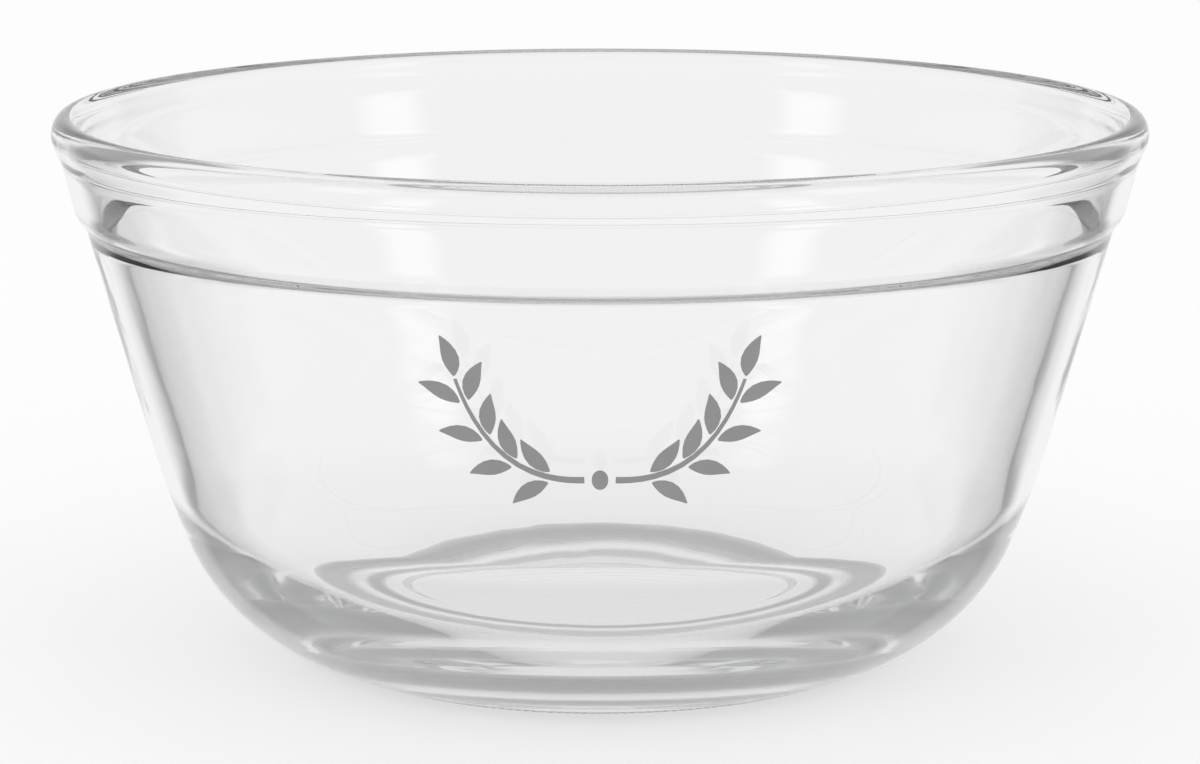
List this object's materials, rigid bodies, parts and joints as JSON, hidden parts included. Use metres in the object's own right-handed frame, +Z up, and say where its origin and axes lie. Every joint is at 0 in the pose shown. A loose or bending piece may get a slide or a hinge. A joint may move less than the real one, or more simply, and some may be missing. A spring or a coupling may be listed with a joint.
{
  "type": "glass salad bowl",
  "caption": "Round clear pressed-glass salad bowl with a rolled rim, a stepped collar, tapering walls, a thick base and a grey leaf print on the front.",
  "frame": {"origin": "middle of the bowl's standing ring, on the surface it stands on", "axes": "+Z up along the bowl's axis, -Y towards the viewer who faces the print, +X to that viewer's right"},
  "size_m": [0.26, 0.26, 0.13],
  "materials": {
    "clear_glass": "clear fire-polished pressed soda-lime glass",
    "print_enamel": "matt grey screen-printed and fired enamel"
  },
  "bodies": {
    "root": {"glass_bowl": "clear_glass", "print_olive": "print_enamel", "print_stem_left": "print_enamel", "print_leaf_left_inner_1": "print_enamel", "print_leaf_left_outer_1": "print_enamel", "print_leaf_left_inner_2": "print_enamel", "print_leaf_left_outer_2": "print_enamel", "print_leaf_left_inner_3": "print_enamel", "print_leaf_left_outer_3": "print_enamel", "print_leaf_left_inner_4": "print_enamel", "print_leaf_left_outer_4": "print_enamel", "print_leaf_left_tip": "print_enamel", "print_stem_right": "print_enamel", "print_leaf_right_inner_1": "print_enamel", "print_leaf_right_outer_1": "print_enamel", "print_leaf_right_inner_2": "print_enamel", "print_leaf_right_outer_2": "print_enamel", "print_leaf_right_inner_3": "print_enamel", "print_leaf_right_outer_3": "print_enamel", "print_leaf_right_inner_4": "print_enamel", "print_leaf_right_outer_4": "print_enamel", "print_leaf_right_tip": "print_enamel"}
  },
  "joints": []
}
